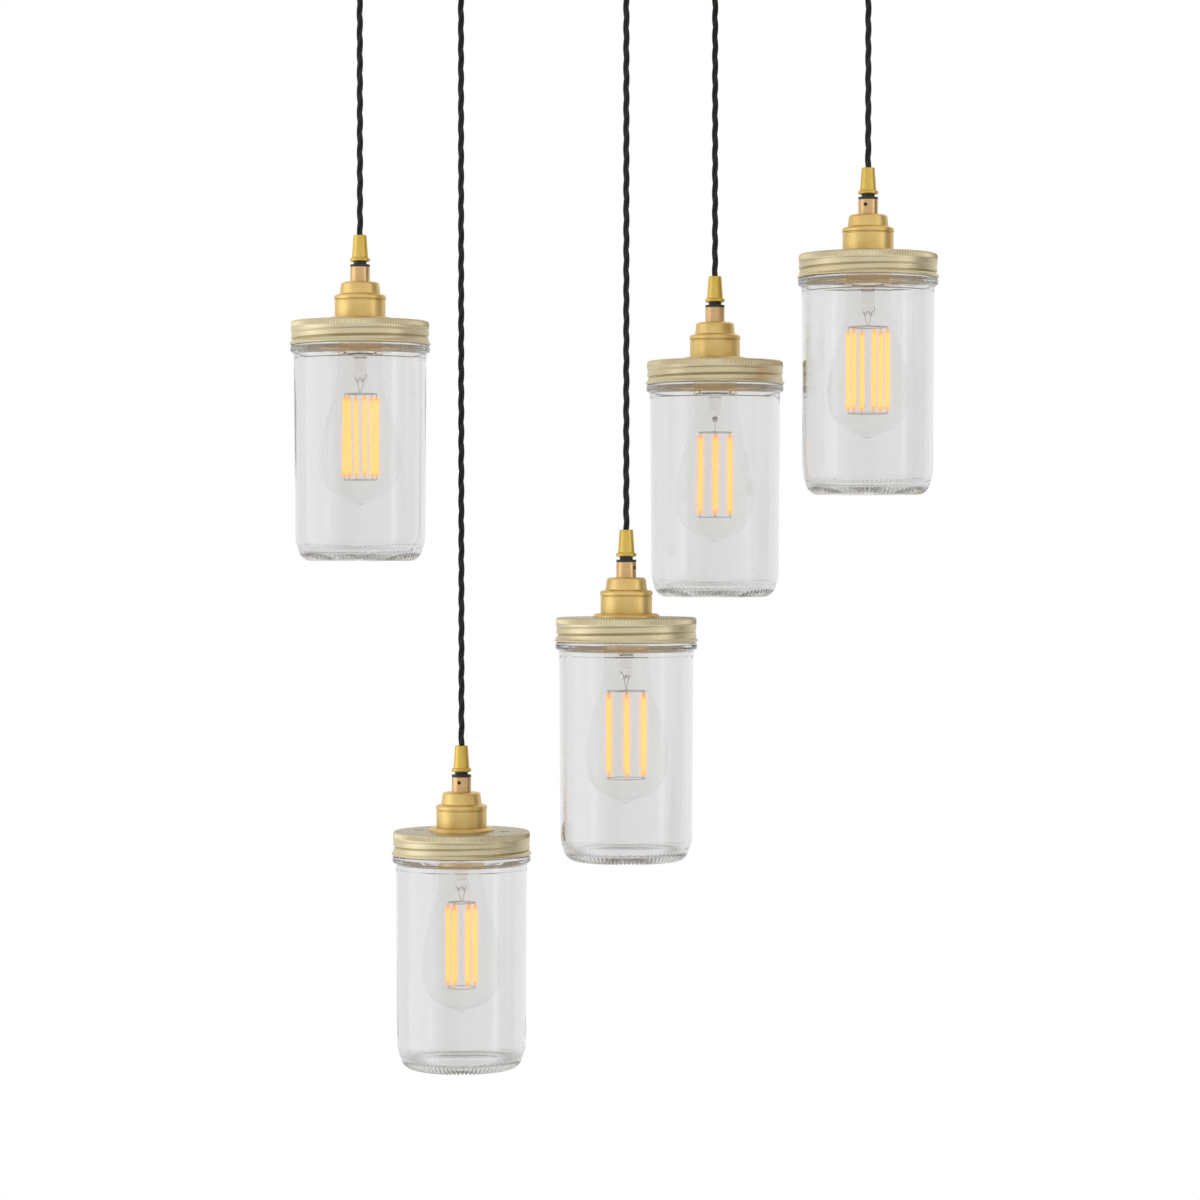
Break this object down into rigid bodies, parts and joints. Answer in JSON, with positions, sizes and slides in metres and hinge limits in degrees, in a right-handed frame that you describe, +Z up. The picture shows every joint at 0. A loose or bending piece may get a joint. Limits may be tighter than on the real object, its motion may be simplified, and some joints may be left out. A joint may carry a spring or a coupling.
{
  "type": "jar cluster pendant light",
  "caption": "Ceiling light: clear glass jars with gold screw lids hang at staggered heights on black twisted cords from a long canopy, each round a filament bulb.",
  "frame": {"origin": "on the ceiling plane, at the middle of the canopy's bracket", "axes": "+Z up to the ceiling, +X along the canopy to the right as seen in the picture, +Y away from the viewer"},
  "size_m": [0.5134, 0.2034, 0.9129],
  "materials": {
    "canopy_brass": "satin brushed brass",
    "brass": "satin turned brass",
    "grip_brass": "polished brass",
    "rose_brass": "polished rosy brass",
    "lid_gold": "pale gold lacquered tinplate",
    "jar_glass": "clear pressed glass",
    "bulb_glass": "clear thin glass",
    "filament": "yellow phosphor, lit",
    "nickel": "nickel-plated screw cap",
    "black_plastic": "black phenolic",
    "cord_fabric": "black braided textile, twisted",
    "bracket_steel": "zinc-plated steel",
    "terminal_plastic": "off-white moulded plastic"
  },
  "bodies": {
    "root": {"canopy_cover": "canopy_brass", "ceiling_bracket": "bracket_steel", "cover_nuts": "brass", "terminal_block": "terminal_plastic", "outlet_grips": "grip_brass"},
    "hanging_cord_1": {"cord_1": "cord_fabric"},
    "head_1": {"cord_grip_1": "grip_brass", "grip_bush_1": "black_plastic", "entry_sleeve_1": "rose_brass", "holder_shell_1": "brass", "socket_insert_1": "black_plastic", "jar_lid_1": "lid_gold"},
    "screw_jar_1": {"jar_1": "jar_glass"},
    "bulb_base_1": {"bulb_cap_1": "nickel"},
    "bulb_1": {"bulb_glass_1": "bulb_glass", "filaments_1": "filament"},
    "hanging_cord_2": {"cord_2": "cord_fabric"},
    "head_2": {"cord_grip_2": "grip_brass", "grip_bush_2": "black_plastic", "entry_sleeve_2": "rose_brass", "holder_shell_2": "brass", "socket_insert_2": "black_plastic", "jar_lid_2": "lid_gold"},
    "screw_jar_2": {"jar_2": "jar_glass"},
    "bulb_base_2": {"bulb_cap_2": "nickel"},
    "bulb_2": {"bulb_glass_2": "bulb_glass", "filaments_2": "filament"},
    "hanging_cord_3": {"cord_3": "cord_fabric"},
    "head_3": {"cord_grip_3": "grip_brass", "grip_bush_3": "black_plastic", "entry_sleeve_3": "rose_brass", "holder_shell_3": "brass", "socket_insert_3": "black_plastic", "jar_lid_3": "lid_gold"},
    "screw_jar_3": {"jar_3": "jar_glass"},
    "bulb_base_3": {"bulb_cap_3": "nickel"},
    "bulb_3": {"bulb_glass_3": "bulb_glass", "filaments_3": "filament"},
    "hanging_cord_4": {"cord_4": "cord_fabric"},
    "head_4": {"cord_grip_4": "grip_brass", "grip_bush_4": "black_plastic", "entry_sleeve_4": "rose_brass", "holder_shell_4": "brass", "socket_insert_4": "black_plastic", "jar_lid_4": "lid_gold"},
    "screw_jar_4": {"jar_4": "jar_glass"},
    "bulb_base_4": {"bulb_cap_4": "nickel"},
    "bulb_4": {"bulb_glass_4": "bulb_glass", "filaments_4": "filament"},
    "hanging_cord_5": {"cord_5": "cord_fabric"},
    "head_5": {"cord_grip_5": "grip_brass", "grip_bush_5": "black_plastic", "entry_sleeve_5": "rose_brass", "holder_shell_5": "brass", "socket_insert_5": "black_plastic", "jar_lid_5": "lid_gold"},
    "screw_jar_5": {"jar_5": "jar_glass"},
    "bulb_base_5": {"bulb_cap_5": "nickel"},
    "bulb_5": {"bulb_glass_5": "bulb_glass", "filaments_5": "filament"}
  },
  "joints": [
    {"name": "sway_1", "type": "hinge", "parent": "root", "child": "hanging_cord_1", "pos_m": [-0.2, 0, -0.049], "axis": [1, 0, 0], "range_deg": [-8, 8]},
    {"name": "turn_1", "type": "hinge", "parent": "hanging_cord_1", "child": "head_1", "pos_m": [-0.2, 0, -0.252], "axis": [0, 0, 1], "range_deg": [-180, 180]},
    {"name": "jar_drop_1", "type": "slide", "parent": "head_1", "child": "screw_jar_1", "axis": [0, 0, -1], "range_m": [0, 0.165]},
    {"name": "bulb_drop_1", "type": "slide", "parent": "head_1", "child": "bulb_base_1", "axis": [0, 0, -1], "range_m": [0, 0.01815]},
    {"name": "bulb_turn_1", "type": "hinge", "parent": "bulb_base_1", "child": "bulb_1", "pos_m": [-0.2, 0, -0.342], "axis": [0, 0, -1], "range_deg": [0, 1800]},
    {"name": "sway_2", "type": "hinge", "parent": "root", "child": "hanging_cord_2", "pos_m": [-0.121, 0.018, -0.049], "axis": [1, 0, 0], "range_deg": [-8, 8]},
    {"name": "turn_2", "type": "hinge", "parent": "hanging_cord_2", "child": "head_2", "pos_m": [-0.121, 0.018, -0.656], "axis": [0, 0, 1], "range_deg": [-180, 180]},
    {"name": "jar_drop_2", "type": "slide", "parent": "head_2", "child": "screw_jar_2", "axis": [0, 0, -1], "range_m": [0, 0.165]},
    {"name": "bulb_drop_2", "type": "slide", "parent": "head_2", "child": "bulb_base_2", "axis": [0, 0, -1], "range_m": [0, 0.01815]},
    {"name": "bulb_turn_2", "type": "hinge", "parent": "bulb_base_2", "child": "bulb_2", "pos_m": [-0.121, 0.018, -0.746], "axis": [0, 0, -1], "range_deg": [0, 1800]},
    {"name": "sway_3", "type": "hinge", "parent": "root", "child": "hanging_cord_3", "pos_m": [0.0097, -0.048, -0.049], "axis": [1, 0, 0], "range_deg": [-8, 8]},
    {"name": "turn_3", "type": "hinge", "parent": "hanging_cord_3", "child": "head_3", "pos_m": [0.0097, -0.048, -0.4845], "axis": [0, 0, 1], "range_deg": [-180, 180]},
    {"name": "jar_drop_3", "type": "slide", "parent": "head_3", "child": "screw_jar_3", "axis": [0, 0, -1], "range_m": [0, 0.165]},
    {"name": "bulb_drop_3", "type": "slide", "parent": "head_3", "child": "bulb_base_3", "axis": [0, 0, -1], "range_m": [0, 0.01815]},
    {"name": "bulb_turn_3", "type": "hinge", "parent": "bulb_base_3", "child": "bulb_3", "pos_m": [0.0097, -0.048, -0.5745], "axis": [0, 0, -1], "range_deg": [0, 1800]},
    {"name": "sway_4", "type": "hinge", "parent": "root", "child": "hanging_cord_4", "pos_m": [0.0815, 0.042, -0.049], "axis": [1, 0, 0], "range_deg": [-8, 8]},
    {"name": "turn_4", "type": "hinge", "parent": "hanging_cord_4", "child": "head_4", "pos_m": [0.0815, 0.042, -0.281], "axis": [0, 0, 1], "range_deg": [-180, 180]},
    {"name": "jar_drop_4", "type": "slide", "parent": "head_4", "child": "screw_jar_4", "axis": [0, 0, -1], "range_m": [0, 0.165]},
    {"name": "bulb_drop_4", "type": "slide", "parent": "head_4", "child": "bulb_base_4", "axis": [0, 0, -1], "range_m": [0, 0.01815]},
    {"name": "bulb_turn_4", "type": "hinge", "parent": "bulb_base_4", "child": "bulb_4", "pos_m": [0.0815, 0.042, -0.371], "axis": [0, 0, -1], "range_deg": [0, 1800]},
    {"name": "sway_5", "type": "hinge", "parent": "root", "child": "hanging_cord_5", "pos_m": [0.2, -0.01, -0.049], "axis": [1, 0, 0], "range_deg": [-8, 8]},
    {"name": "turn_5", "type": "hinge", "parent": "hanging_cord_5", "child": "head_5", "pos_m": [0.2, -0.01, -0.2], "axis": [0, 0, 1], "range_deg": [-180, 180]},
    {"name": "jar_drop_5", "type": "slide", "parent": "head_5", "child": "screw_jar_5", "axis": [0, 0, -1], "range_m": [0, 0.165]},
    {"name": "bulb_drop_5", "type": "slide", "parent": "head_5", "child": "bulb_base_5", "axis": [0, 0, -1], "range_m": [0, 0.01815]},
    {"name": "bulb_turn_5", "type": "hinge", "parent": "bulb_base_5", "child": "bulb_5", "pos_m": [0.2, -0.01, -0.29], "axis": [0, 0, -1], "range_deg": [0, 1800]}
  ],
  "couplings": [
    {"joint": "bulb_drop_1", "follows": "bulb_turn_1", "m_per_rad": 0.00057757},
    {"joint": "bulb_drop_2", "follows": "bulb_turn_2", "m_per_rad": 0.00057757},
    {"joint": "bulb_drop_3", "follows": "bulb_turn_3", "m_per_rad": 0.00057757},
    {"joint": "bulb_drop_4", "follows": "bulb_turn_4", "m_per_rad": 0.00057757},
    {"joint": "bulb_drop_5", "follows": "bulb_turn_5", "m_per_rad": 0.00057757}
  ]
}
